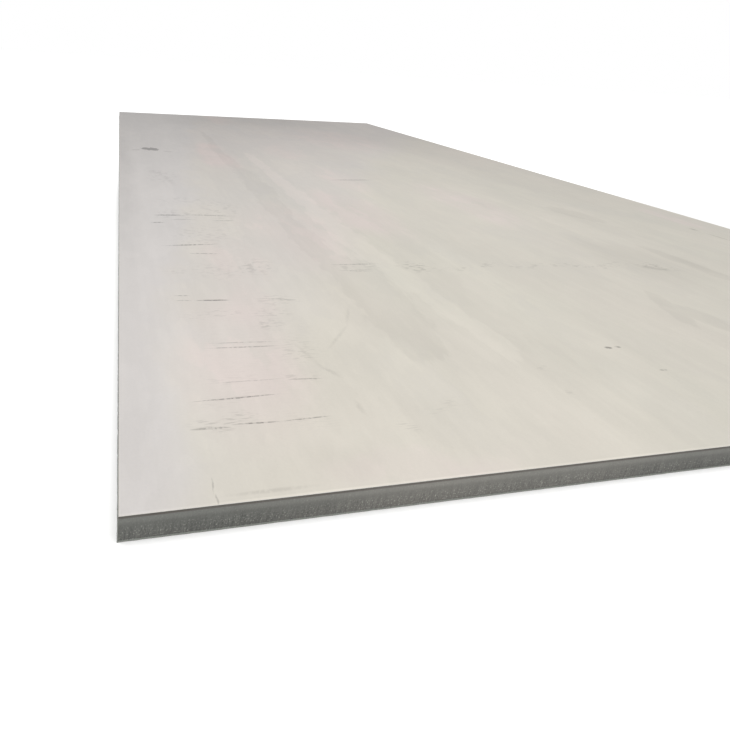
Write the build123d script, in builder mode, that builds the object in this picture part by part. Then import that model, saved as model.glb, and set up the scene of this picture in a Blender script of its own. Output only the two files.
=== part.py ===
from build123d import *
import os

# A hot rolled and pickled steel plate, cut to size on all four sides with a thermal torch.
# X runs along the length, Y across the width and Z up through the thickness.
# The origin is the middle of the underside. Sizes are in millimetres.

# Size of the plate over the foot of its cut sides, where it is widest
plate_length = 6000.0
plate_width = 2200.0
plate_thickness = 32.0

# Taper of the cuts: how far the wall of a long side and of a short end runs out on its way down
side_run_out = 2.5
end_run_out = 1.3

# Arris along the top of each cut, melted round where the arc goes in
arris_radius = 1.5

# Bead of metal set along the foot of each cut, where the arc comes out
bead_radius = 1.0


def cut_section(plane: Plane, span: float, run_out: float) -> BuildSketch:
    """Section of the plate between two opposite cut sides.

    Args:
        plane: the plane it is drawn on, with the thickness along its own Y.
        span: the distance over the two feet.
        run_out: how far each wall runs out from the top face to its bead.

    Returns:
        The closed section, even about the middle of the plate.
    """
    foot = span / 2
    wall_foot = foot - bead_radius
    with BuildSketch(plane) as section:
        with BuildLine():
            Line((0, 0), (foot, 0))
            bead = CenterArc((wall_foot, 0), bead_radius, 0, 90)
            wall = Line(bead @ 1, (wall_foot - run_out, plate_thickness))
            Line(wall @ 1, (0, plate_thickness))
            mirror(about=Plane.YZ)
        make_face()
    return section


across = cut_section(Plane.YZ, plate_width, side_run_out)
along = cut_section(Plane.XZ, plate_length, end_run_out)

with BuildPart() as steel_plate:
    # The long sides come from the section across the plate, drawn out to the full length
    extrude(across.sketch, amount=plate_length / 2, both=True)

    # The ends come from the section along it, so that taper and bead meet in a mitre at each corner
    extrude(along.sketch, amount=plate_width / 2, both=True, mode=Mode.INTERSECT)

    # The top arris is rounded all the way round
    top_face = steel_plate.faces().sort_by(Axis.Z)[-1]
    fillet(top_face.edges(), radius=arris_radius)

steel_plate.part.label = "steel_plate"

os.makedirs("parts", exist_ok=True)
export_step(steel_plate.part, "parts/steel_plate.step")
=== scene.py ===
"""A hot rolled and pickled steel plate, torch-cut on all four sides, lying on a pale studio floor.

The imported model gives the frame: metres, +X along the plate, +Y across it, +Z up, with the origin
in the middle of the underside. The plate is one closed mesh, worked out as whole arrays, with the
relief of the cuts in its walls.
"""

import logging
import math
from dataclasses import dataclass, field
from enum import Enum
from typing import Dict, List, Optional, Sequence, Tuple, Union

import bpy
import numpy as np
from mathutils import Matrix, Vector


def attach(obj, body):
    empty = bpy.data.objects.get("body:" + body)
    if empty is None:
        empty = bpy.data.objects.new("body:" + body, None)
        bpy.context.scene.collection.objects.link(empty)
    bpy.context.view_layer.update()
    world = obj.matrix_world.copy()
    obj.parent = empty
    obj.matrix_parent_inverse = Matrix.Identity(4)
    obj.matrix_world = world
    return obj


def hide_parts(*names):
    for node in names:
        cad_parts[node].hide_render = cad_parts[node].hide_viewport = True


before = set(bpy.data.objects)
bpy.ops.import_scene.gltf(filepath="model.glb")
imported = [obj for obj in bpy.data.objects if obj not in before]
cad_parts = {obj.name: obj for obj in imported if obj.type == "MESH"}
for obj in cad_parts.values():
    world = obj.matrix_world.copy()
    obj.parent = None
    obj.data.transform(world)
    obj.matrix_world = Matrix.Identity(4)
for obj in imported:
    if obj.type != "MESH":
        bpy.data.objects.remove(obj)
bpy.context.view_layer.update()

# Mesh attributes that the cut finish reads: distance along the cut, and depth of the grooves
RUN_NAME = "run"
GROOVE_NAME = "groove"

# How far the drag lines trail behind at the foot of a cut
TRAIL = 0.0028

# Half height of an oval on a surface, so large that height makes no difference
ANY_HEIGHT = 1000.0

# Nearness to an oval over which the rim of a crisp shape rises
RIM = (0.43, 0.57)

# How many values a table of random values has
TABLE_SIZE = 4096

Triple = Tuple[float, float, float]
Span = Tuple[float, float]

# Noise: clouds to a metre along each axis, and how many finer layers it has
Layer = Tuple[Triple, float]

# A push by noise: swings to a metre along each axis, and how far they go
Push = Tuple[Triple, Triple]

log = logging.getLogger("steel_plate")


def linear(red: float, green: float, blue: float) -> Triple:
    """Turns a display colour, 0 to 255, into linear light.

    Args:
        red: display red.
        green: display green.
        blue: display blue.

    Returns:
        The same colour as linear numbers from 0 to 1.
    """
    parts = np.array([red, green, blue]) / 255.0
    light = np.where(parts <= 0.04045, parts / 12.92, ((parts + 0.055) / 1.055) ** 2.4)
    return tuple(float(v) for v in light)


class Wire:
    """A value that comes out of a node. Arithmetic on it adds Math nodes."""

    def __init__(self, sheet: "NodeSheet", socket: Optional[bpy.types.NodeSocket]) -> None:
        """Keeps the output socket and the sheet it is on."""
        self.sheet = sheet
        self.socket = socket

    def math(self, operation: str, *operands: "Operand") -> "Wire":
        """Adds a Math node that works on the operands in order."""
        inputs = dict(enumerate(operands))
        return self.sheet.node("ShaderNodeMath", {"operation": operation}, inputs)

    def __add__(self, other: "Operand") -> "Wire":
        """This value plus another."""
        return self.math("ADD", self, other)

    __radd__ = __add__

    def __sub__(self, other: "Operand") -> "Wire":
        """This value less another."""
        return self.math("SUBTRACT", self, other)

    def __rsub__(self, other: "Operand") -> "Wire":
        """Another value less this one."""
        return self.math("SUBTRACT", other, self)

    def __mul__(self, other: "Operand") -> "Wire":
        """This value times another."""
        return self.math("MULTIPLY", self, other)

    __rmul__ = __mul__

    def __truediv__(self, other: "Operand") -> "Wire":
        """This value over another."""
        return self.math("DIVIDE", self, other)

    def __pow__(self, other: "Operand") -> "Wire":
        """This value to a power."""
        return self.math("POWER", self, other)

    def clamped(self) -> "Wire":
        """This value kept between 0 and 1."""
        return self.sheet.node("ShaderNodeClamp", {}, {"Value": self})

    def ramp(self, start: float, end: float, low: float = 0.0, high: float = 1.0) -> "Wire":
        """A smooth step of this value.

        Args:
            start: where the step begins.
            end: where it ends, which may be below the start.
            low: what it gives at the start.
            high: what it gives at the end.

        Returns:
            The stepped value, held level outside the two.
        """
        if end < start:
            start, end, low, high = end, start, high, low
        return self.sheet.node(
            "ShaderNodeMapRange",
            {"interpolation_type": "SMOOTHSTEP"},
            {"Value": self, "From Min": start, "From Max": end, "To Min": low, "To Max": high},
        )


Operand = Union[Wire, float]
Value = Union[Wire, float, Sequence[float]]


class NodeSheet:
    """The node tree of one finish, lamp or sky, with short ways to add to it."""

    def __init__(self, tree: bpy.types.NodeTree) -> None:
        """Takes over the tree and empties it."""
        self.tree = tree
        self.tree.nodes.clear()

    def node(
        self,
        kind: str,
        settings: Dict[str, object],
        sockets: Dict[Union[int, str], Value],
        output: Union[int, str] = 0,
    ) -> Wire:
        """Adds a node.

        Args:
            kind: the node's type.
            settings: its options, which are set first.
            sockets: values or wires for its inputs, by place, name or identifier.
            output: the output to give back, by place or name.

        Returns:
            The chosen output as a wire, which is bare where the node has none.
        """
        made = self.tree.nodes.new(kind)
        for name, value in settings.items():
            setattr(made, name, value)
        for key, value in sockets.items():
            self.feed(self.pick(made.inputs, key), value)
        return Wire(self, self.pick(made.outputs, output) if made.outputs else None)

    @staticmethod
    def pick(sockets: bpy.types.bpy_prop_collection, key: Union[int, str]) -> bpy.types.NodeSocket:
        """Finds a socket by its place, or by its identifier or name.

        Args:
            sockets: a node's inputs or outputs.
            key: the place, identifier or name.

        Returns:
            The socket.
        """
        if isinstance(key, int):
            return sockets[key]
        return next((s for s in sockets if s.identifier == key), None) or sockets[key]

    def feed(self, socket: bpy.types.NodeSocket, value: Value) -> None:
        """Links a wire to an input, or sets the input's own value.

        Args:
            socket: the input.
            value: a wire, number, vector or colour. A colour without alpha is opaque.
        """
        if isinstance(value, Wire):
            self.tree.links.new(value.socket, socket)
        elif socket.type == "RGBA":
            socket.default_value = (*value, 1.0)[:4]
        else:
            socket.default_value = value

    def blend(self, share: Operand, first: Value, second: Value) -> Wire:
        """Mixes two colours.

        Args:
            share: how much there is of the second.
            first: the first colour.
            second: the second colour.

        Returns:
            The mixed colour.
        """
        return self.node(
            "ShaderNodeMix",
            {"data_type": "RGBA"},
            {"Factor_Float": share, "A_Color": first, "B_Color": second},
            "Result_Color",
        )

    def vector(self, operation: str, *operands: Value, output: Union[int, str] = 0) -> Wire:
        """Adds a Vector Math node that works on the operands in order."""
        inputs = dict(enumerate(operands))
        return self.node("ShaderNodeVectorMath", {"operation": operation}, inputs, output)

    def dimmed(self, colour: Value, share: Operand) -> Wire:
        """A colour or vector times a plain number."""
        inputs = {0: colour, "Scale": share}
        return self.node("ShaderNodeVectorMath", {"operation": "SCALE"}, inputs)

    def noise(self, place: Wire, stretch: Triple, detail: float, tint: bool = False) -> Wire:
        """Cloudy noise of about 0.25 to 0.75.

        Args:
            place: the coordinates it is read at, in metres.
            stretch: how many clouds there are to a metre along each axis.
            detail: how many finer layers it has.
            tint: gives three unlike noises as a colour in place of one number.

        Returns:
            The noise.
        """
        return self.node(
            "ShaderNodeTexNoise",
            {"noise_dimensions": "3D"},
            {"Vector": self.vector("MULTIPLY", place, stretch), "Scale": 1.0, "Detail": detail},
            "Color" if tint else 0,
        )

    def warped(self, place: Wire, stretch: Triple, reach: Triple) -> Wire:
        """Coordinates pushed about by noise.

        Args:
            place: the coordinates, in metres.
            stretch: how many swings there are to a metre along each axis.
            reach: how far they are pushed along each axis, in metres.

        Returns:
            The pushed coordinates.
        """
        swing = self.noise(place, stretch, 3.0, tint=True)
        push = self.vector("SUBTRACT", swing, (0.5, 0.5, 0.5))
        push = self.vector("MULTIPLY", push, tuple(2.0 * r for r in reach))
        return self.vector("ADD", place, push)

    def bump(self, relief: Wire, strength: float, height: float) -> Wire:
        """Bends the normals by a relief from 0 to 1 that is this high, in metres."""
        inputs = {"Strength": strength, "Distance": height, "Height": relief}
        return self.node("ShaderNodeBump", {}, inputs, "Normal")

    def surface(self, shader: Dict[Union[int, str], Value]) -> None:
        """Ends a material with a Principled shader that has the given inputs."""
        bsdf = self.node("ShaderNodeBsdfPrincipled", {}, shader)
        self.node("ShaderNodeOutputMaterial", {}, {"Surface": bsdf})

    def metal(self, colour: Wire, share: float, rough: Wire, normal: Wire) -> None:
        """Ends a material that is bare metal in part, and oxide in the rest.

        Args:
            colour: its colour.
            share: how much of it is bare metal.
            rough: its roughness.
            normal: its bumped normals.
        """
        self.surface(
            {"Base Color": colour, "Metallic": share, "Roughness": rough, "Normal": normal}
        )


def in_scene(name: str, data: bpy.types.ID) -> bpy.types.Object:
    """Makes an object and puts it in the scene.

    Args:
        name: name of the object.
        data: its mesh, lamp or camera.

    Returns:
        The object.
    """
    made = bpy.data.objects.new(name, data)
    bpy.context.scene.collection.objects.link(made)
    return made


def new_sheet(name: str) -> Tuple[bpy.types.Material, NodeSheet]:
    """Makes a material and the empty sheet of its nodes.

    Args:
        name: name of the material.

    Returns:
        The material and its sheet.
    """
    material = bpy.data.materials.new(name)
    material.use_nodes = True
    return material, NodeSheet(material.node_tree)


@dataclass(frozen=True)
class Place:
    """An oval on a surface: a streak, a stain or a mark."""

    x: float
    y: float
    half_x: float
    half_y: float
    strength: float = 1.0
    turn: float = 0.0

    def nearness(self, sheet: NodeSheet, coords: Wire, spread: float = 1.0) -> Wire:
        """How near a point is to the middle of the oval.

        The point is centred, turned and divided by the half sizes, and its length is taken from 1.

        Args:
            sheet: the sheet to add the nodes to.
            coords: the coordinates to read, in metres.
            spread: how many half sizes out the nearness comes down to nothing.

        Returns:
            1 in the middle, falling evenly to 0.
        """
        local = sheet.node(
            "ShaderNodeMapping",
            {"vector_type": "TEXTURE"},
            {
                "Vector": coords,
                "Location": (self.x, self.y, 0.0),
                "Rotation": (0.0, 0.0, math.radians(self.turn)),
                "Scale": (self.half_x * spread, self.half_y * spread, ANY_HEIGHT),
            },
        )
        settings = {"gradient_type": "SPHERICAL"}
        return sheet.node("ShaderNodeTexGradient", settings, {"Vector": local}, "Fac")

    def weight(self, sheet: NodeSheet, coords: Wire, firmness: float) -> Wire:
        """Strength of the oval at each point.

        Args:
            sheet: the sheet to add the nodes to.
            coords: the coordinates to read, in metres.
            firmness: how far out the oval keeps its full strength, from 0 to 1.

        Returns:
            The strength, which falls smoothly to nothing on the rim.
        """
        return self.nearness(sheet, coords).ramp(0.0, 1.0 - firmness, 0.0, self.strength)


def ovals(*rows: Sequence[float]) -> Tuple[Place, ...]:
    """Ovals from rows of x, y, the two half sizes and, where they matter, strength and turn."""
    return tuple(Place(*row) for row in rows)


def gathered(sheet: NodeSheet, coords: Wire, places: Sequence[Place], firmness: float) -> Wire:
    """Adds up the strengths of several places.

    Args:
        sheet: the sheet to add the nodes to.
        coords: the coordinates to read, in metres.
        places: the ovals.
        firmness: how far out each keeps its full strength, from 0 to 1.

    Returns:
        The sum of the strengths.
    """
    total = places[0].weight(sheet, coords, firmness)
    for place in places[1:]:
        total = total + place.weight(sheet, coords, firmness)
    return total


def outlined(sheet: NodeSheet, coords: Wire, places: Sequence[Place], rag: Wire) -> Wire:
    """One crisp shape round several places.

    Args:
        sheet: the sheet to add the nodes to.
        coords: the coordinates to read, in metres.
        places: ovals that the shape covers. Their strengths aren't used.
        rag: noise that pushes the rim in and out, in shares of the half sizes.

    Returns:
        1 inside the shape and 0 outside it.
    """
    nearest = places[0].nearness(sheet, coords, 2.0)
    for place in places[1:]:
        nearest = nearest.math("MAXIMUM", nearest, place.nearness(sheet, coords, 2.0))
    return (nearest + rag * 0.5).ramp(*RIM)


@dataclass(frozen=True)
class RolledFinish:
    """Hot rolled face after pickling: matt, pale and warm grey, streaked along the rolling."""

    name: str = "pickled_rolled_face"
    lilac: Triple = linear(207, 203, 200)
    olive: Triple = linear(206, 203, 190)
    rose: Triple = linear(215, 203, 198)
    metal: float = 0.45
    roughness: float = 0.46

    # Heights over which the look of the underside goes over into that of the top
    upper_span: Span = (0.012, 0.020)

    # Pushes that make soft places, streaks and marks uneven
    loose_push: Push = ((1.6, 5.0, 40.0), (0.16, 0.030, 0.0))
    torn_push: Push = ((9.0, 38.0, 40.0), (0.022, 0.006, 0.0))
    ragged_push: Push = ((55.0, 45.0, 1.0), (0.0018, 0.0022, 0.0))

    # Layers of noise, and the spans over which the crisp ones rise
    cloud: Layer = ((0.55, 1.3, 40.0), 3.0)
    patch: Layer = ((2.2, 5.5, 40.0), 3.0)
    rolling: Layer = ((0.45, 11.0, 40.0), 4.0)
    drawn: Layer = ((2.5, 75.0, 40.0), 3.0)
    grain: Layer = ((190.0, 260.0, 40.0), 3.0)
    stain: Layer = ((3.2, 10.0, 55.0), 5.0)
    stain_rim: Span = (0.50, 0.54)
    fleck: Layer = ((11.0, 36.0, 55.0), 4.0)
    fleck_rim: Span = (0.50, 0.56)
    fray: Layer = ((14.0, 60.0, 1.0), 4.0)
    ripple: Layer = ((26.0, 40.0, 1.0), 2.0)
    gaps: Layer = ((60.0, 170.0, 1.0), 2.0)
    gap_rim: Span = (0.38, 0.54)
    dash: Layer = ((1.0, 1.0, 1.0), 3.0)
    dash_rim: Span = (0.50, 0.62)

    # Dashes in the worn places, which grow longer with the distance from an origin before the plate
    dash_origin: float = 3.75
    dashes_along: float = 215.0
    dashes_across: float = 50.0

    # Tint: two slants over the face, the band by the left side, and spans along the plate; the far
    # span is partly a painted reflection
    drift: float = 1.2
    slant_lean: float = 2.27
    slant_span: Span = (-0.95, -0.25)
    away_lean: float = 0.9
    away_span: Span = (0.2, 1.3)
    band_edge: float = 1.045
    band_lean: float = 0.098
    band_origin: float = 2.8
    band_rim: Span = (-0.06, 0.04)
    pink_pale_span: Span = (-2.1, -1.5)
    pink_far_span: Span = (-1.6, 0.6)

    # Lightness: painted shade that darkens the face towards the far end, streaks, and a painted
    # highlight on the near arris
    dim_span: Span = (-1.6, 3.4)
    far_dimming: float = 0.14
    dark_streak: float = 0.057
    pale_streak: float = 0.052
    arris_strip: Span = (-2.9905, -2.9940)
    arris_shine: float = 0.070

    # Marks and relief
    bar_strength: float = 0.68
    worn_strength: float = 0.43
    mark_depth: float = 0.72
    bump_strength: float = 0.35
    bump_height: float = 0.00025

    # Places: washes of light and dark, streaks of the rolling, rosy places and the marks
    washes: Tuple[Place, ...] = ovals(
        (-0.25, -0.15, 2.0, 0.85, 0.085),
        (3.0, -0.1, 1.4, 0.8, -0.09),
        (-2.62, 0.97, 0.45, 0.11, 0.045),
        (-2.8, 0.43, 0.5, 0.06, 0.04),
        (-2.0, -0.36, 0.4, 0.2, -0.06),
        (-0.4, 1.1, 2.2, 0.1, -0.1),
        (-2.95, 0.82, 0.08, 0.08, -0.065),
        (0.5, -0.95, 1.5, 0.4, 0.045),
        (-1.5, 0.93, 0.3, 0.07, -0.025),
        (-2.35, 0.69, 0.28, 0.08, 0.04),
        (-2.1, 0.53, 0.55, 0.09, 0.06),
        (-3.0, 0.6, 0.35, 0.65, 0.04),
        (-2.3, 0.23, 0.9, 0.11, 0.045),
        (-2.42, 0.88, 0.35, 0.06, 0.035),
        (-2.66, 0.62, 0.2, 0.08, 0.055),
        (-2.8, 0.3, 0.09, 0.09, 0.045),
        (-1.05, -0.3, 0.28, 0.1, -0.035),
        (0.35, -0.5, 1.2, 0.38, 0.045),
        (2.4, 0.52, 0.75, 0.36, -0.045),
    )
    dark_streaks: Tuple[Place, ...] = ovals(
        (1.05, 0.566, 0.42, 0.02),
        (0.5, 0.582, 0.34, 0.026),
        (0.02, 0.575, 0.34, 0.03),
        (-0.47, 0.558, 0.27, 0.05),
        (-0.79, 0.56, 0.24, 0.062),
        (-1.16, 0.58, 0.3, 0.045),
        (-1.66, 0.58, 0.36, 0.047),
        (-2.04, 0.535, 0.18, 0.074, 1.0, 6.0),
        (-2.22, 0.536, 0.16, 0.066),
        (-2.4, 0.548, 0.14, 0.058, 1.0, -6.0),
        (-2.53, 0.565, 0.1, 0.048, 1.0, -9.0),
        (-2.4, -0.125, 0.13, 0.022, 1.0, -16.0),
        (-2.48, -0.16, 0.1, 0.03),
        (-2.02, -0.502, 0.2, 0.024),
        (-1.28, -0.575, 0.15, 0.048, 1.0, 10.0),
    )
    pale_streaks: Tuple[Place, ...] = ovals(
        (0.0, 0.437, 0.4, 0.028),
        (-0.57, 0.44, 0.36, 0.034),
        (-1.02, 0.443, 0.3, 0.042),
        (-1.38, 0.446, 0.24, 0.052),
        (-1.68, 0.449, 0.2, 0.057),
        (-1.9, 0.442, 0.17, 0.048),
        (-2.12, 0.43, 0.15, 0.043),
        (-2.32, 0.42, 0.13, 0.037),
        (-2.52, 0.405, 0.12, 0.026),
    )
    rosy: Tuple[Place, ...] = ovals(
        (-2.55, 0.9, 0.42, 0.14, 0.46),
        (-2.28, 0.84, 0.22, 0.08, 0.4),
        (-1.9, 0.82, 0.32, 0.11, 0.4),
        (-1.6, 0.6, 0.6, 0.19, 0.45),
        (0.25, 0.61, 0.75, 0.12, 0.85),
        (-1.25, 0.3, 0.6, 0.17, 0.6),
        (-0.5, 0.14, 0.45, 0.12, 0.4),
        (0.5, 0.2, 0.5, 0.17, 0.35),
        (-1.1, -0.22, 0.6, 0.15, 0.4),
        (1.3, -0.35, 0.9, 0.42, 0.45),
        (2.6, 0.32, 0.6, 0.14, 0.45),
        (-1.35, -1.0, 0.3, 0.09, 0.45),
        (-2.97, 0.7, 0.07, 0.18, 0.25),
    )
    marks: Tuple[Place, ...] = ovals(
        (-1.345, 0.952, 0.011, 0.047, 0.5, 1.5),
        (-1.346, 0.817, 0.0093, 0.091, 0.34, -8.9),
        (-1.457, 0.985, 0.0092, 0.025, 0.5, 0.6),
        (-1.411, 0.909, 0.0087, 0.046, 0.22, 1.0),
        (-1.428, 0.784, 0.0088, 0.042, 0.28, 0.8),
        (-1.746, 0.913, 0.0066, 0.09, 0.38, 5.6),
        (-1.746, 0.922, 0.0079, 0.045, 0.26, 3.2),
        (-1.842, 0.886, 0.006, 0.049, 0.34, -6.7),
        (-2.2, 0.97, 0.0041, 0.019, 0.38, -5.5),
        (-2.238, 0.908, 0.0047, 0.045, 0.66, -2.8),
        (-2.234, 0.968, 0.0039, 0.021, 0.28, -5.8),
        (-2.244, 0.769, 0.0041, 0.051, 0.28, -13.8),
        (-2.49, 0.887, 0.0029, 0.076, 0.3, -2.6),
        (-2.513, 0.887, 0.0034, 0.077, 0.4, -1.8),
        (-2.66, 0.904, 0.0022, 0.075, 0.22, 0.9),
        (-2.666, 0.808, 0.003, 0.032, 0.38, -4.2),
        (-2.719, 0.928, 0.0028, 0.078, 0.56, 2.7),
        (-2.81, 0.976, 0.0046, 0.033, 0.42, -1.7),
        (-2.805, 0.91, 0.0026, 0.038, 0.58, -2.5),
        (-2.804, 0.838, 0.0025, 0.042, 0.5, 3.2),
        (-1.971, 0.516, 0.0059, 0.079, 0.32, 1.5),
        (-2.033, 0.531, 0.0055, 0.052, 0.24, -7.4),
        (-0.527, 0.093, 0.018, 0.129, 0.3, 7.3),
        (-0.393, 0.96, 0.022, 0.022, 0.16),
        (-0.443, 0.943, 0.02, 0.026, 0.16),
        (0.361, 1.014, 0.0371, 0.025, 0.2, -33.4),
        (0.329, 0.853, 0.04, 0.028, 0.16, 36.0),
        (-2.613, 0.194, 0.007, 0.01, 0.6, -18.0),
        (-2.612, 0.172, 0.0062, 0.008, 0.5, -32.0),
        (-2.73, 0.158, 0.005, 0.01, 0.35),
        (-2.955, 0.9895, 0.025, 0.0015, 0.25, -3.0),
        (-2.986, 0.988, 0.014, 0.0017, 0.26, 2.0),
    )
    bar: Tuple[Place, ...] = ovals(
        (0.432, 0.962, 0.056, 0.022),
        (0.416, 0.941, 0.056, 0.027),
        (0.4, 0.919, 0.056, 0.022),
    )
    scuffs: Tuple[Place, ...] = ovals(
        (-2.483, 0.703, 0.095, 0.006, 0.14, -30.0),
        (-2.364, 0.65, 0.08, 0.006, 0.1, -18.0),
        (-2.559, 0.783, 0.075, 0.007, 0.1, 11.0),
        (-2.64, 0.762, 0.045, 0.008, 0.16, 22.0),
        (-2.784, 0.753, 0.034, 0.007, 0.14, 2.0),
        (-0.64, 0.905, 0.17, 0.019, 0.12, 8.0),
        (-2.98, 0.923, 0.007, 0.072, 0.17, 0.4),
        (-2.026, -0.505, 0.15, 0.026, 0.08, -0.3),
        (-2.066, -0.344, 0.024, 0.064, 0.22, -42.6),
        (-1.562, -0.917, 0.036, 0.014, 0.34),
        (-1.69, -0.92, 0.085, 0.012, 0.28, 0.5),
    )
    worn: Tuple[Place, ...] = ovals(
        (-0.502, 0.924, 0.243, 0.08, 0.26),
        (-1.095, 0.885, 0.1, 0.12, 0.26),
        (-1.373, 0.921, 0.1, 0.095, 0.34),
        (-1.289, 0.777, 0.24, 0.08, 0.26),
        (-1.648, 0.872, 0.11, 0.11, 0.2),
        (-1.974, 0.773, 0.09, 0.062, 0.4),
        (-2.005, 0.979, 0.045, 0.04, 0.26),
        (-1.969, 0.865, 0.1, 0.11, 0.2),
        (-2.254, 0.771, 0.058, 0.06, 0.42),
        (-2.342, 0.923, 0.042, 0.085, 0.26),
        (-2.357, 0.795, 0.05, 0.05, 0.38),
        (-2.435, 0.807, 0.036, 0.034, 0.5),
        (-2.558, 0.79, 0.064, 0.05, 0.26),
        (-2.673, 0.811, 0.026, 0.042, 0.34),
        (-2.669, 0.926, 0.026, 0.07, 0.14),
        (-2.751, 0.938, 0.03, 0.08, 0.13),
        (-2.812, 0.95, 0.022, 0.07, 0.55),
        (-2.838, 0.838, 0.032, 0.06, 0.14),
        (-1.989, 0.518, 0.066, 0.09, 0.4),
        (-2.002, 0.358, 0.062, 0.062, 0.6),
        (-2.015, 0.25, 0.03, 0.07, 0.34),
        (-2.017, 0.143, 0.034, 0.075, 0.5),
        (-2.028, 0.03, 0.034, 0.085, 0.4),
        (-2.036, -0.091, 0.036, 0.105, 0.5),
        (-2.045, -0.22, 0.044, 0.09, 0.42),
        (-2.054, -0.364, 0.06, 0.075, 0.6),
        (-2.803, 0.618, 0.026, 0.06, 0.22),
        (-2.856, 0.702, 0.02, 0.022, 0.34),
        (-2.686, 0.382, 0.018, 0.022, 0.28),
        (-2.785, 0.393, 0.015, 0.015, 0.32),
        (-2.5, 0.85, 0.42, 0.17, 0.07),
        (-1.6, 0.84, 0.6, 0.17, 0.08),
    )

    def make(self) -> bpy.types.Material:
        """Builds the finish.

        The tint goes from olive at the near right corner through grey to lilac, along a slant and
        in a band by the left side, with rosy places. Long noise along X gives the streaks of the
        rolling. The underside has the same tints and streaks in other places, and no marks.

        Returns:
            The material.
        """
        material, sheet = new_sheet(self.name)
        coords = sheet.node("ShaderNodeTexCoord", {}, {}, "Object")
        x, y, z = (
            sheet.node("ShaderNodeSeparateXYZ", {}, {"Vector": coords}, axis) for axis in range(3)
        )
        upper = z.ramp(*self.upper_span)
        loose = sheet.warped(coords, *self.loose_push)
        torn = sheet.warped(coords, *self.torn_push)
        ragged = sheet.warped(coords, *self.ragged_push)

        cloud = sheet.noise(coords, *self.cloud) - 0.5
        patch = sheet.noise(coords, *self.patch) - 0.5
        rolling = sheet.noise(coords, *self.rolling) - 0.5
        drawn = sheet.noise(coords, *self.drawn) - 0.5
        grain = sheet.noise(coords, *self.grain) - 0.5
        stain = sheet.noise(coords, *self.stain).ramp(*self.stain_rim) - 0.5
        fleck = sheet.noise(coords, *self.fleck).ramp(*self.fleck_rim) - 0.5

        # Tint: olive towards the near right corner, lilac along the left side, rose in places
        slant = x + self.slant_lean * y + cloud * self.drift
        away = x + self.away_lean * y + patch * self.drift
        yellow = 1.0 - slant.ramp(*self.slant_span) * 0.50 - away.ramp(*self.away_span) * 0.26
        yellow = yellow + patch * 0.45 + stain * 0.08
        band_edge = self.band_edge - self.band_lean * (x + self.band_origin) + 0.22 * patch
        band = (y - band_edge).ramp(*self.band_rim)
        rag = patch * 0.9 + rolling * 0.9 + sheet.noise(coords, *self.fray) * 1.1 - 0.55
        darker = outlined(sheet, torn, self.dark_streaks, rag) * upper
        lighter = outlined(sheet, torn, self.pale_streaks, rag) * upper
        pink = 0.21 + gathered(sheet, loose, self.rosy, 0.35) * (0.85 + 1.6 * patch + 0.5 * stain)
        pink = pink + cloud * 0.35 + patch * 0.30
        pink = pink + lighter * x.ramp(*self.pink_pale_span) * 0.20
        # Rosier towards the far end: partly the face's own tint, partly a painted reflection of the
        # light there
        pink = pink + x.ramp(*self.pink_far_span) * 0.12
        colour = sheet.blend((yellow * (1.0 - band)).clamped(), self.lilac, self.olive)
        colour = sheet.blend((pink * (1.0 - 0.75 * band)).clamped(), colour, self.rose)

        # Lightness: painted shade towards the far end, clouds, streaks of the rolling, washes, and
        # a painted highlight along the near arris
        level = 1.0 - x.ramp(*self.dim_span, 0.0, self.far_dimming)
        level = level + cloud * 0.05 + patch * 0.06 + stain * 0.018 + fleck * 0.014
        level = level + rolling * 0.10 + drawn * 0.05 + grain * 0.06
        level = level + gathered(sheet, loose, self.washes, 0.25)
        level = level - darker * self.dark_streak + lighter * self.pale_streak
        # Painted highlight: a bright line on the top face along the near arris
        level = level + x.ramp(*self.arris_strip) * (self.arris_shine + patch * 0.20)

        # Marks, broken up by noise. The dashes of worn places grow longer towards the far end
        breaks = sheet.noise(coords, *self.gaps).ramp(*self.gap_rim, 0.40, 1.25)
        stride = (x + self.dash_origin) ** -1.0
        steps = {"X": stride * self.dashes_along, "Y": y * self.dashes_across}
        across = sheet.node("ShaderNodeCombineXYZ", {}, steps)
        dashes = sheet.noise(across, *self.dash).ramp(*self.dash_rim)
        dark = gathered(sheet, ragged, self.marks, 0.45) * breaks
        bar = outlined(sheet, ragged, self.bar, dashes * 0.2 + fleck * 0.3)
        dark = dark + bar * self.bar_strength
        dark = dark + gathered(sheet, ragged, self.scuffs, 0.10) * (0.25 + 0.65 * breaks)
        dark = dark + gathered(sheet, loose, self.worn, 0.35) * dashes * self.worn_strength
        dark = dark * upper
        level = level * (1.0 - dark.clamped() * self.mark_depth)

        rough = self.roughness + patch * 0.10 + rolling * 0.12 + dark * 0.08
        relief = grain * 0.6 + drawn * 0.5 + sheet.noise(coords, *self.ripple) * 0.8
        normal = sheet.bump(relief, self.bump_strength, self.bump_height)
        sheet.metal(sheet.dimmed(colour, level), self.metal, rough, normal)
        return material


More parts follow.
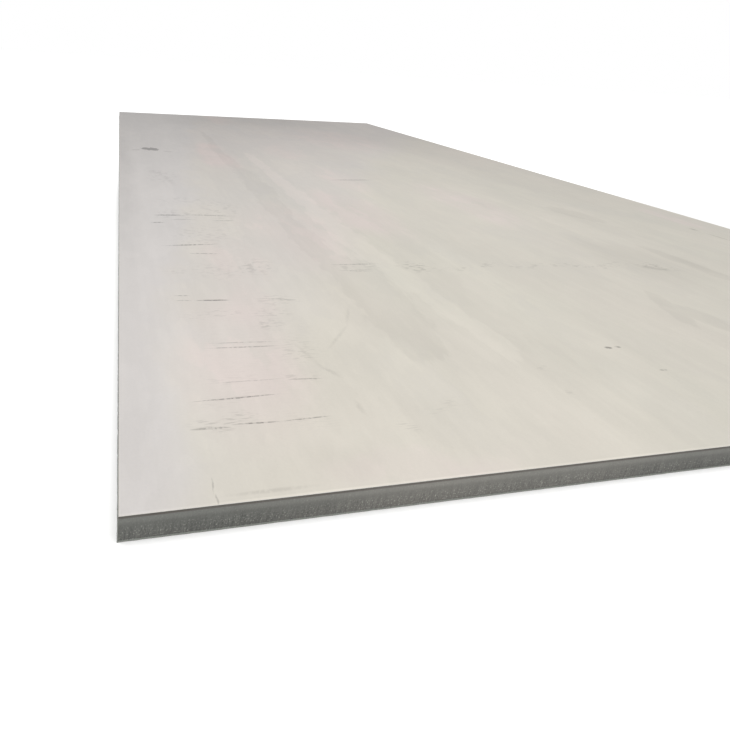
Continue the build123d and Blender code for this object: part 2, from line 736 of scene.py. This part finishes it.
@dataclass(frozen=True)
class CutFinish:
    """Torch-cut wall: dark grey oxide, drag lines, a darker line under the arris, and a painted
    highlight along the arris and on the bead.
    """

    thickness: float
    name: str = "torch_cut_wall"
    body: Triple = linear(97, 98, 94)
    warm_body: Triple = linear(105, 103, 98)
    # A darker line just under the arris
    scorched: Triple = linear(80, 73, 69)
    # Painted highlight on the top of the rounded arris
    melted: Triple = linear(212, 209, 202)
    # The bead drawn paler: a painted highlight where it faces up to the light
    bead: Triple = linear(148, 152, 145)
    speck: Triple = linear(168, 168, 160)
    metal: float = 0.45
    roughness: float = 0.36

    # Layers of noise along the cut, and the spans over which two of them rise
    broad: Layer = ((3.0, 8.0, 1.0), 3.0)
    broad_rim: Span = (0.35, 0.65)
    blotch: Layer = ((28.0, 45.0, 1.0), 3.0)
    lines: Layer = ((300.0, 26.0, 1.0), 2.0)
    fine: Layer = ((620.0, 330.0, 1.0), 2.0)
    sparks: Layer = ((560.0, 380.0, 1.0), 1.0)
    spark_rim: Span = (0.58, 0.70)

    # Zones by height, as shares of the thickness or in metres
    drag_shares: Span = (0.66, 0.34)
    upper_drag: float = 0.22
    lip_shares: Span = (0.60, 0.80)
    scorch_foot: Span = (0.0282, 0.0296)
    scorch_top: Span = (0.0318, 0.0314)
    rim_span: Span = (0.0314, 0.0319)
    bead_span: Span = (0.0021, 0.0009)

    # Relief, and paler stretches by distance along the cut and height
    bump_strength: float = 0.6
    bump_height: float = 0.0004
    paler: Tuple[Place, ...] = ovals(
        (14.68, 0.016, 0.34, 4.0, 0.22),
        (15.9, 0.016, 0.3, 4.0, 0.12),
        (1.6, 0.016, 0.7, 4.0, 0.14),
        (4.1, 0.016, 0.9, 4.0, 0.1),
        (7.3, 0.016, 0.4, 4.0, 0.14),
        (9.6, 0.016, 0.6, 4.0, 0.12),
        (12.7, 0.016, 0.9, 4.0, 0.12),
    )

    def span(self, shares: Span) -> Span:
        """Heights at two shares of the thickness."""
        return shares[0] * self.thickness, shares[1] * self.thickness

    def make(self) -> bpy.types.Material:
        """Builds the finish.

        Height up the wall picks the zones: bead, drag lines, smooth upper part, a darker line under
        the arris and a painted highlight on the arris. The bead is drawn paler, a painted highlight
        where it faces up. The distance along the cut, an attribute of the mesh, carries the lines,
        which trail behind towards the foot as the square of the depth.

        Returns:
            The material.
        """
        material, sheet = new_sheet(self.name)
        coords = sheet.node("ShaderNodeTexCoord", {}, {}, "Object")
        z = sheet.node("ShaderNodeSeparateXYZ", {}, {"Vector": coords}, "Z")
        run = sheet.node("ShaderNodeAttribute", {"attribute_name": RUN_NAME}, {}, "Fac")
        groove = sheet.node("ShaderNodeAttribute", {"attribute_name": GROOVE_NAME}, {}, "Fac")
        depth = (self.thickness - z) / self.thickness
        trailed = run + depth * depth * TRAIL
        wall = sheet.node("ShaderNodeCombineXYZ", {}, {"X": trailed, "Y": z})

        broad = sheet.noise(wall, *self.broad)
        blotch = sheet.noise(wall, *self.blotch)
        lines = sheet.noise(wall, *self.lines)
        fine = sheet.noise(wall, *self.fine)
        sparks = sheet.noise(wall, *self.sparks)
        paler = gathered(sheet, wall, self.paler, 0.3)

        lower = z.ramp(*self.span(self.drag_shares), self.upper_drag, 1.0)
        warmth = broad.ramp(*self.broad_rim) * 0.4 + paler * 2.6
        colour = sheet.blend(warmth, self.body, self.warm_body)
        colour = sheet.blend(sparks.ramp(*self.spark_rim) * lower * 0.42, colour, self.speck)
        level = 1.0 + (lines - 0.5) * lower * 0.95 + (fine - 0.5) * (0.25 + 0.75 * lower)
        level = level + (blotch - 0.5) * 0.30 - groove * 0.16 + paler
        lip = z.ramp(*self.span(self.lip_shares))
        level = level + lip * (0.18 + 0.25 * broad)
        colour = sheet.dimmed(colour, level)

        # A darker line just under the arris
        scorch = z.ramp(*self.scorch_foot) * z.ramp(*self.scorch_top)
        colour = sheet.blend(scorch * (0.40 + 0.6 * blotch), colour, self.scorched)
        # Painted highlight: the top of the rounded arris drawn pale, where it would catch the sky
        rim = z.ramp(*self.rim_span)
        colour = sheet.blend(rim, colour, self.melted)
        # The bead at the foot drawn paler: a painted highlight where its top faces up to the light
        foot = z.ramp(*self.bead_span)
        colour = sheet.blend(foot * (0.40 + 0.9 * lines).clamped(), colour, self.bead)

        rough = self.roughness + (blotch - 0.5) * 0.2 - rim * 0.12 - foot * 0.12
        relief = lines * lower + fine * 0.5 * lower + blotch * 0.5
        normal = sheet.bump(relief, self.bump_strength, self.bump_height)
        sheet.metal(colour, self.metal, rough, normal)
        return material


@dataclass(frozen=True)
class CutProfile:
    """Section of one torch-cut side, from its foot up to the top face."""

    thickness: float
    run_out: float
    bead_radius: float
    arris_radius: float

    def inset(self, height: np.ndarray) -> np.ndarray:
        """How far in from the foot the side stands at each height.

        A quarter circle over the bead, then a straight line that leans in by the run-out over the
        rest of the thickness, then the circle that touches that line and the top face.

        Args:
            height: heights over the underside.

        Returns:
            The inset at each height.
        """
        slope = self.run_out / (self.thickness - self.bead_radius)
        lean = math.atan(slope)
        middle = self.thickness - self.arris_radius
        bead = self.bead_radius - np.sqrt(np.clip(self.bead_radius**2 - height**2, 0.0, None))
        wall = self.bead_radius + slope * (height - self.bead_radius)
        centre = self.bead_radius + slope * (middle - self.bead_radius)
        centre += self.arris_radius / math.cos(lean)
        arris = centre - np.sqrt(np.clip(self.arris_radius**2 - (height - middle) ** 2, 0.0, None))
        upper = np.where(height <= middle + self.arris_radius * math.sin(lean), wall, arris)
        return np.where(height <= self.bead_radius, bead, upper)


def uneven(place: np.ndarray, pitch: float, seed: int) -> np.ndarray:
    """Smooth random values from 0 to 1 along a line.

    A seeded table has one value to each pitch, and between two of them the value goes over by the
    cubic 3t^2 - 2t^3.

    Args:
        place: distances along the line.
        pitch: distance from one table value to the next.
        seed: seed of the table.

    Returns:
        The value at each distance.
    """
    table = np.random.default_rng(seed).random(TABLE_SIZE)
    step = np.floor(place / pitch)
    share = place / pitch - step
    share = share * share * (3.0 - 2.0 * share)
    first = step.astype(int) % table.size
    return table[first] * (1.0 - share) + table[(first + 1) % table.size] * share


@dataclass(frozen=True)
class TorchRelief:
    """What the torch leaves in a cut wall. All of it goes inwards from the nominal section."""

    thickness: float
    line_pitch: float = 0.0042
    line_depth: float = 0.00032
    wander_pitch: float = 0.110
    wander_depth: float = 0.00035
    lump_pitch: float = 0.009
    lump_depth: float = 0.00045
    coarse_share: float = 0.7
    fine_share: float = 0.3
    plain_share: float = 0.86
    fade_share: float = 0.50
    faintest: float = 0.14
    foot_gap: float = 0.0009
    foot_rise: float = 0.003
    top_gap: float = 0.0010
    top_rise: float = 0.002
    bead_reach: float = 0.004
    seed: int = 20

    def grooves(self, run: np.ndarray, height: np.ndarray) -> np.ndarray:
        """Depth of the drag lines from 0 to 1.

        Two uneven waves along the cut, one at half the pitch of the other, read at a place that
        trails behind by the square of the depth, and weighted so that they are faint in the upper
        third, strong below and gone at the bead and the arris.

        Args:
            run: distances along the cut.
            height: heights over the underside.

        Returns:
            The depth, with a row for each height.
        """
        depth = (self.thickness - height) / self.thickness
        trailed = run + TRAIL * depth**2
        wave = self.coarse_share * uneven(trailed, self.line_pitch, self.seed)
        wave += self.fine_share * uneven(trailed, self.line_pitch / 2, self.seed + 1)
        fade = (self.plain_share - height / self.thickness) / self.fade_share
        inside = np.clip((height - self.foot_gap) / self.foot_rise, 0.0, 1.0)
        inside *= np.clip((self.thickness - self.top_gap - height) / self.top_rise, 0.0, 1.0)
        return wave * np.clip(fade, self.faintest, 1.0) * inside

    def depth(self, run: np.ndarray, height: np.ndarray) -> np.ndarray:
        """How far the wall stands in from its section.

        The drag lines, the slow wander of the torch, and the lumps of the bead, which fade out a
        few millimetres up as the wander comes in.

        Args:
            run: distances along the cut.
            height: heights over the underside.

        Returns:
            The distance, with a row for each height.
        """
        lines = self.line_depth * self.grooves(run, height)
        above = np.clip(height / self.bead_reach, 0.0, 1.0)
        wander = self.wander_depth * uneven(run, self.wander_pitch, self.seed + 2) * above
        low = np.clip(1.0 - height / self.bead_reach, 0.0, 1.0)
        lumps = self.lump_depth * uneven(run, self.lump_pitch, self.seed + 3) ** 2 * low
        return lines + wander + lumps


class Side(Enum):
    """The cut sides in order round the plate, anticlockwise from above: direction and outward."""

    RIGHT = ((1.0, 0.0), (0.0, -1.0))
    FAR_END = ((0.0, 1.0), (1.0, 0.0))
    LEFT = ((-1.0, 0.0), (0.0, 1.0))
    NEAR_END = ((0.0, -1.0), (-1.0, 0.0))

    @property
    def is_end(self) -> bool:
        """Whether this is one of the two short ends."""
        return self in (Side.FAR_END, Side.NEAR_END)


class Face(Enum):
    """Material slots of the plate."""

    ROLLED = 0
    CUT = 1


@dataclass(frozen=True)
class BakeMap:
    """Layout of the plate's own UV map, in pixels of a square map.

    The top face is at the top of the map and the underside, drawn smaller, is below it. The walls,
    cut into lengths of about a metre, lie in strips at the bottom.
    """

    side: float = 1024.0
    margin: float = 3.0
    top_height: float = 440.0
    under_height: float = 168.0
    strip_height: float = 21.0
    strip_length: float = 1.1

    def across(self, share: np.ndarray) -> np.ndarray:
        """Place across the map of a share from 0 to 1."""
        return (self.margin + share * (self.side - 2 * self.margin)) / self.side

    def face(self, x_share: np.ndarray, y_share: np.ndarray, upper: bool) -> np.ndarray:
        """Place of points on a rolled face.

        Args:
            x_share: share of the way along the plate.
            y_share: share of the way across it.
            upper: whether it is the top face.

        Returns:
            UV pairs.
        """
        top_low = self.side - self.margin - self.top_height
        low = top_low if upper else top_low - self.margin - self.under_height
        height = self.top_height if upper else self.under_height
        return np.stack([self.across(x_share), (low + y_share * height) / self.side], -1)

    def strip(self, row: np.ndarray, share: np.ndarray, rise: np.ndarray) -> np.ndarray:
        """Place of points on the walls.

        Args:
            row: which strip.
            share: share of the way along the strip.
            rise: share of the way up the section.

        Returns:
            UV pairs.
        """
        low = self.margin + row * (self.strip_height + self.margin)
        return np.stack([self.across(share), (low + rise * self.strip_height) / self.side], -1)


@dataclass
class SteelPlate:
    """The plate: two rolled faces, four torch-cut sides and sharp mitred corners."""

    length: float = 6.000
    width: float = 2.200
    thickness: float = 0.032
    side_run_out: float = 0.0025
    end_run_out: float = 0.0013
    arris_radius: float = 0.0015
    bead_radius: float = 0.0010
    near_pitch: float = 0.0014
    pitch: float = 0.0023
    corner_fade: float = 0.010
    border: float = 0.050
    face_cells: Tuple[int, int] = (60, 22)
    bead_turns: Triple = (0.0, 45.0, 90.0)
    wall_heights: Tuple[float, ...] = (0.0050, 0.0100, 0.0160, 0.0230)
    arris_rings: int = 4
    bake_map: BakeMap = field(default_factory=BakeMap)

    def heights(self) -> np.ndarray:
        """Heights of the rings round the plate: bead, wall and arris.

        Returns:
            The heights, from the foot up.
        """
        bead = self.bead_radius * np.sin(np.radians(self.bead_turns))
        lean = math.degrees(math.atan(self.side_run_out / (self.thickness - self.bead_radius)))
        turns = np.radians(np.linspace(lean, 90.0, self.arris_rings))
        arris = self.thickness - self.arris_radius + self.arris_radius * np.sin(turns)
        return np.concatenate([bead, self.wall_heights, arris])

    def section(self, run_out: float) -> CutProfile:
        """The section of a side with this run-out."""
        return CutProfile(self.thickness, run_out, self.bead_radius, self.arris_radius)

    def columns(self, side: Side) -> int:
        """How many columns of faces a side has."""
        span = self.width if side.is_end else self.length
        return round(span / (self.near_pitch if side is Side.NEAR_END else self.pitch))

    def wall_points(self, side: Side, start: float) -> Tuple[np.ndarray, np.ndarray]:
        """Points of one side, ring by ring.

        Along the side, a point stands at a share from -1 to 1 of the half length that the
        neighbours' section leaves at its height, so the corners are mitred. Across it, it stands at
        the half width less its own section and the relief, which fades out at the corners.

        Args:
            side: which side.
            start: distance round the plate at which it starts.

        Returns:
            The points, indexed by ring, column and axis, and the depth of the grooves.
        """
        heights = self.heights()[:, None]
        count = self.columns(side)
        span, reach = (self.width, self.length) if side.is_end else (self.length, self.width)
        own = self.end_run_out if side.is_end else self.side_run_out
        other = self.side_run_out if side.is_end else self.end_run_out
        share = -1.0 + 2.0 * np.arange(count)[None, :] / count
        run = start + (share + 1.0) * span / 2
        relief = TorchRelief(self.thickness)
        fade = np.clip((1.0 - np.abs(share)) * span / 2 / self.corner_fade, 0.0, 1.0)
        along = share * (span / 2 - self.section(other).inset(heights))
        out = reach / 2 - self.section(own).inset(heights) - relief.depth(run, heights) * fade
        direction, outward = (np.array(v) for v in side.value)
        flat = along[..., None] * direction + out[..., None] * outward
        points = np.concatenate([flat, np.broadcast_to(heights[..., None], (*along.shape, 1))], -1)
        return points, relief.grooves(run, heights) * fade

    def cell_points(self, height: float) -> np.ndarray:
        """Points of a rolled face's inner grid, which stands a border in from the foot.

        Args:
            height: height of the face.

        Returns:
            The points, with those of one X together.
        """
        nx, ny = self.face_cells
        x = np.linspace(-self.length / 2 + self.border, self.length / 2 - self.border, nx + 1)
        y = np.linspace(-self.width / 2 + self.border, self.width / 2 - self.border, ny + 1)
        grid = np.stack(np.meshgrid(x, y, indexing="ij"), -1).reshape(-1, 2)
        return np.concatenate([grid, np.full((len(grid), 1), height)], 1)

    def cell_loop(self) -> List[np.ndarray]:
        """Numbers of the inner grid's rim points, counted from its first point.

        Returns:
            An array for each side, in the order of the sides and with both its corners.
        """
        nx, ny = self.face_cells
        number = np.arange((nx + 1) * (ny + 1)).reshape(nx + 1, ny + 1)
        return [number[:, 0], number[-1, :], number[::-1, -1], number[0, ::-1]]

    def border_faces(self, ring: int, counts: Sequence[int], total: int, cells: int) -> np.ndarray:
        """Triangles between a ring of the walls and the rim of an inner grid.

        Along each side, a fine edge joins the coarse point nearest its middle, and a coarse edge
        joins the fine point at which that choice moves on.

        Args:
            ring: number of the ring.
            counts: columns of each side.
            total: columns of all sides.
            cells: number of the grid's first point.

        Returns:
            Triangles that face up.
        """
        triangles = []
        start = 0
        for count, rim in zip(counts, self.cell_loop()):
            fine = ring * total + (start + np.arange(count + 1)) % total
            steps = len(rim) - 1
            nearest = np.floor((np.arange(count) + 0.5) * steps / count + 0.5).astype(int)
            triangles.append(np.stack([fine[:-1], fine[1:], cells + rim[nearest]], 1))
            switch = np.searchsorted(nearest, np.arange(1, steps + 1))
            triangles.append(
                np.stack([cells + rim[:-1], fine[np.minimum(switch, count)], cells + rim[1:]], 1)
            )
            start += count
        return np.concatenate(triangles)

    def cell_faces(self, cells: int) -> np.ndarray:
        """Squares of an inner grid.

        Args:
            cells: number of the grid's first point.

        Returns:
            Corner numbers of each square, which faces up.
        """
        nx, ny = self.face_cells
        number = cells + np.arange((nx + 1) * (ny + 1)).reshape(nx + 1, ny + 1)
        corners = [number[:-1, :-1], number[1:, :-1], number[1:, 1:], number[:-1, 1:]]
        return np.stack([c.ravel() for c in corners], 1)

    def build(self) -> bpy.types.Object:
        """Builds the whole plate as one closed mesh.

        Returns:
            The plate's object, at the origin.
        """
        counts = [self.columns(side) for side in Side]
        spans = [self.width if side.is_end else self.length for side in Side]
        starts = np.concatenate([[0.0], np.cumsum(spans)])
        parts = [self.wall_points(side, start) for side, start in zip(Side, starts)]
        walls = np.concatenate([p for p, _ in parts], 1)
        grooves = np.concatenate([g for _, g in parts], 1)
        rings, total = walls.shape[:2]

        over = self.cell_points(self.thickness)
        under = self.cell_points(0.0)
        points = np.concatenate([walls.reshape(-1, 3), over, under])
        over_first, under_first = rings * total, rings * total + len(over)

        number = np.arange(rings * total).reshape(rings, total)
        after = np.roll(number, -1, 1)
        quads = np.stack([number[:-1], after[:-1], after[1:], number[1:]], -1).reshape(-1, 4)
        top_border = self.border_faces(rings - 1, counts, total, over_first)
        under_border = self.border_faces(0, counts, total, under_first)[:, ::-1]
        top_cells = self.cell_faces(over_first)
        under_cells = self.cell_faces(under_first)[:, ::-1]

        groups = [quads, top_cells, under_cells, top_border, under_border]
        mesh = bpy.data.meshes.new("plate_body")
        mesh.from_pydata(points.tolist(), [], [f for g in groups for f in g.tolist()])

        rolled = np.arange(len(mesh.polygons)) >= len(quads)
        mesh.polygons.foreach_set("use_smooth", ~rolled)
        plate = in_scene("plate_body", mesh)
        mesh.materials.append(RolledFinish().make())
        mesh.materials.append(CutFinish(self.thickness).make())
        slots = np.where(rolled, Face.ROLLED.value, Face.CUT.value).astype(np.int32)
        mesh.polygons.foreach_set("material_index", slots)

        self.mark_walls(mesh, grooves, counts, starts)
        self.lay_out(mesh, counts, [len(g) * g.shape[1] for g in groups])
        mesh.update()
        mesh.validate()
        return plate

    def mark_walls(
        self, mesh: bpy.types.Mesh, grooves: np.ndarray, counts: Sequence[int], starts: np.ndarray
    ) -> None:
        """Writes the groove depth and the distance along the cut to the mesh.

        Args:
            mesh: the plate's mesh, whose first points and loops are those of the walls.
            grooves: groove depth by ring and column.
            counts: columns of each side.
            starts: distance round the plate at which each side starts.
        """
        depth = np.zeros(len(mesh.vertices))
        depth[: grooves.size] = grooves.ravel()
        mesh.attributes.new(GROOVE_NAME, "FLOAT", "POINT").data.foreach_set("value", depth)

        sides = zip(starts[:-1], starts[1:], counts)
        behind = np.concatenate([np.linspace(a, b, n, endpoint=False) for a, b, n in sides])
        ahead = np.append(behind[1:], starts[-1])
        ring = np.stack([behind, ahead, ahead, behind], -1)
        run = np.zeros(len(mesh.loops))
        walls = np.tile(ring, (grooves.shape[0] - 1, 1)).ravel()
        run[: walls.size] = walls
        mesh.attributes.new(RUN_NAME, "FLOAT", "CORNER").data.foreach_set("value", run)

    def wall_map(self, counts: Sequence[int]) -> np.ndarray:
        """Lays the walls out in strips, each with whole columns.

        Args:
            counts: columns of each side.

        Returns:
            A UV pair for each loop of the walls, ring by ring.
        """
        rows, starts, ends = [], [], []
        row = 0
        for side, count in zip(Side, counts):
            span = self.width if side.is_end else self.length
            strips = math.ceil(span / self.bake_map.strip_length)
            column = np.arange(count)
            strip = column * strips // count
            first = np.ceil(strip * count / strips)
            last = np.ceil((strip + 1) * count / strips)
            rows.append(row + strip)
            starts.append((column - first) / (last - first))
            ends.append((column + 1 - first) / (last - first))
            row += strips
        row_of, near, far = (np.concatenate(v) for v in (rows, starts, ends))
        heights = self.heights()
        inset = self.section(self.side_run_out).inset(heights)
        rise = np.concatenate([[0.0], np.cumsum(np.hypot(np.diff(heights), np.diff(inset)))])
        rise /= rise[-1]
        shape = (len(heights) - 1, len(row_of))
        low = np.broadcast_to(rise[:-1, None], shape)
        high = np.broadcast_to(rise[1:, None], shape)
        share = np.stack([np.broadcast_to(v, shape) for v in (near, far, far, near)], -1)
        lift = np.stack([low, low, high, high], -1)
        strip_of = np.broadcast_to(row_of[None, :, None], share.shape)
        return self.bake_map.strip(strip_of, share, lift).reshape(-1, 2)

    def lay_out(self, mesh: bpy.types.Mesh, counts: Sequence[int], loops: Sequence[int]) -> None:
        """Lays out the plate's own UV map.

        Args:
            mesh: the plate's mesh.
            counts: columns of each side.
            loops: loops of the walls, the two grids and the two borders.
        """
        corner = np.empty(len(mesh.loops), np.int32)
        mesh.loops.foreach_get("vertex_index", corner)
        place = np.empty(len(mesh.vertices) * 3)
        mesh.vertices.foreach_get("co", place)
        spots = place.reshape(-1, 3)[corner, :2]
        shares = spots / np.array([self.length, self.width]) + 0.5
        bounds = np.cumsum([0, *loops])
        uv = np.empty((len(mesh.loops), 2))
        uv[: bounds[1]] = self.wall_map(counts)
        for group, upper in ((1, True), (2, False), (3, True), (4, False)):
            part = slice(bounds[group], bounds[group + 1])
            uv[part] = self.bake_map.face(shares[part, 0], shares[part, 1], upper)
        mesh.uv_layers.new(name="OFBake").uv.foreach_set("vector", uv.ravel())

    def place(self) -> bpy.types.Object:
        """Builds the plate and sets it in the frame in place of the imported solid.

        Returns:
            The plate's object.
        """
        plate = self.build()
        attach(plate, "root")
        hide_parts("steel_plate")
        return plate


@dataclass(frozen=True)
class FloorFinish:
    """Plain pale studio floor, lifted towards white away from the plate's near end."""

    name: str = "studio_floor"
    colour: Triple = (0.90, 0.90, 0.895)
    near_glow: float = 0.03
    far_glow: float = 0.50
    lit_middle: Triple = (-2.1, 0.0, 0.0)
    lit_half: Triple = (0.9, 1.1, 0.0)
    lit_reach: float = 1.6

    def make(self) -> bpy.types.Material:
        """Builds the finish.

        The floor is matt and has a little light of its own, which rises with the distance from a
        rectangle under the near end, so that the floor's far rim can't be told from the sky.

        Returns:
            The material.
        """
        material, sheet = new_sheet(self.name)
        coords = sheet.node("ShaderNodeTexCoord", {}, {}, "Object")
        centred = sheet.vector("SUBTRACT", coords, self.lit_middle)
        outside = sheet.vector("SUBTRACT", sheet.vector("ABSOLUTE", centred), self.lit_half)
        outside = sheet.vector("MAXIMUM", outside, (0.0, 0.0, 0.0))
        away = sheet.vector("LENGTH", outside, output="Value")
        glow = away.ramp(0.0, self.lit_reach, self.near_glow, self.far_glow)
        sheet.surface(
            {
                "Base Color": self.colour,
                "Roughness": 1.0,
                "Specular IOR Level": 0.0,
                "Emission Color": sheet.dimmed((1.0, 1.0, 1.0), glow),
                "Emission Strength": 1.0,
            }
        )
        return material


@dataclass
class Studio:
    """Floor, sky, soft lamp and camera."""

    floor_half: float = 60.0
    floor_gap: float = 0.0003
    sky_low: float = 0.50
    sky_high: float = 0.77
    sky_rise: float = 0.6
    lamp_place: Triple = (-2.4, 0.9, 3.2)
    lamp_aim: Triple = (-1.6, 0.7, 0.0)
    lamp_side: float = 3.6
    lamp_power: float = 94.0
    camera_place: Triple = (-3.69761, 1.06539, 0.50160)
    heading: float = -19.0494
    down_tilt: float = 22.4831
    roll: float = 4.0356
    lens: float = 35.2304
    sensor: float = 36.0
    clips: Span = (0.05, 400.0)

    def lay_floor(self) -> None:
        """Lays a wide plain floor just under the plate."""
        half = self.floor_half
        flat = [(-half, -half), (half, -half), (half, half), (-half, half)]
        corners = [(x, y, -self.floor_gap) for x, y in flat]
        mesh = bpy.data.meshes.new("studio_floor")
        mesh.from_pydata(corners, [], [(0, 1, 2, 3)])
        mesh.materials.append(FloorFinish().make())
        floor = in_scene("studio_floor", mesh)

    def light_sky(self) -> None:
        """Sets an even sky that is dimmer near the horizon, and white where it is looked at."""
        world = bpy.data.worlds.new("studio_sky")
        bpy.context.scene.world = world
        world.use_nodes = True
        sheet = NodeSheet(world.node_tree)
        way = sheet.node("ShaderNodeTexCoord", {}, {}, "Generated")
        up = sheet.node("ShaderNodeSeparateXYZ", {}, {"Vector": way}, "Z")
        seen = sheet.node("ShaderNodeLightPath", {}, {}, "Is Camera Ray")
        level = up.ramp(0.0, self.sky_rise, self.sky_low, self.sky_high)
        level = seen + (1.0 - seen) * level
        sky = sheet.node("ShaderNodeBackground", {}, {"Color": (1.0, 1.0, 1.0), "Strength": level})
        sheet.node("ShaderNodeOutputWorld", {}, {"Surface": sky})

    def hang_lamp(self) -> None:
        """Hangs a soft square lamp that doesn't show in the metal."""
        lamp = bpy.data.lights.new("soft_lamp", "AREA")
        lamp.shape = "SQUARE"
        lamp.size = self.lamp_side
        lamp.energy = self.lamp_power
        held = in_scene("soft_lamp", lamp)
        held.location = self.lamp_place
        held.visible_glossy = False
        sight = Vector(self.lamp_aim) - Vector(self.lamp_place)
        held.rotation_euler = sight.to_track_quat("-Z", "Y").to_euler()

    def stand_camera(self) -> None:
        """Stands the camera where the fitted outline puts it.

        It looks along its heading, from +X towards +Y, tilted down, and is then rolled about the
        line of sight.
        """
        data = bpy.data.cameras.new("camera")
        data.lens = self.lens
        data.sensor_width = self.sensor
        data.sensor_fit = "HORIZONTAL"
        data.clip_start, data.clip_end = self.clips
        turn = Matrix.Rotation(math.radians(self.heading - 90.0), 4, "Z")
        tilt = Matrix.Rotation(math.radians(90.0 - self.down_tilt), 4, "X")
        rolled = Matrix.Rotation(math.radians(self.roll), 4, "Z")
        camera = in_scene("camera", data)
        camera.matrix_world = Matrix.Translation(self.camera_place) @ turn @ tilt @ rolled
        bpy.context.scene.camera = camera

    def set_up(self) -> None:
        """Sets up the whole studio."""
        bpy.context.scene.view_settings.view_transform = "Standard"
        self.lay_floor()
        self.light_sky()
        self.hang_lamp()
        self.stand_camera()


def main() -> None:
    """Builds the studio and the plate."""
    logging.basicConfig(level=logging.INFO, format="%(name)s: %(message)s")
    Studio().set_up()
    plate = SteelPlate().place()
    faces = len(plate.data.polygons)
    log.info("%s: %d points, %d faces", plate.name, len(plate.data.vertices), faces)


if __name__ == "__main__":
    main()
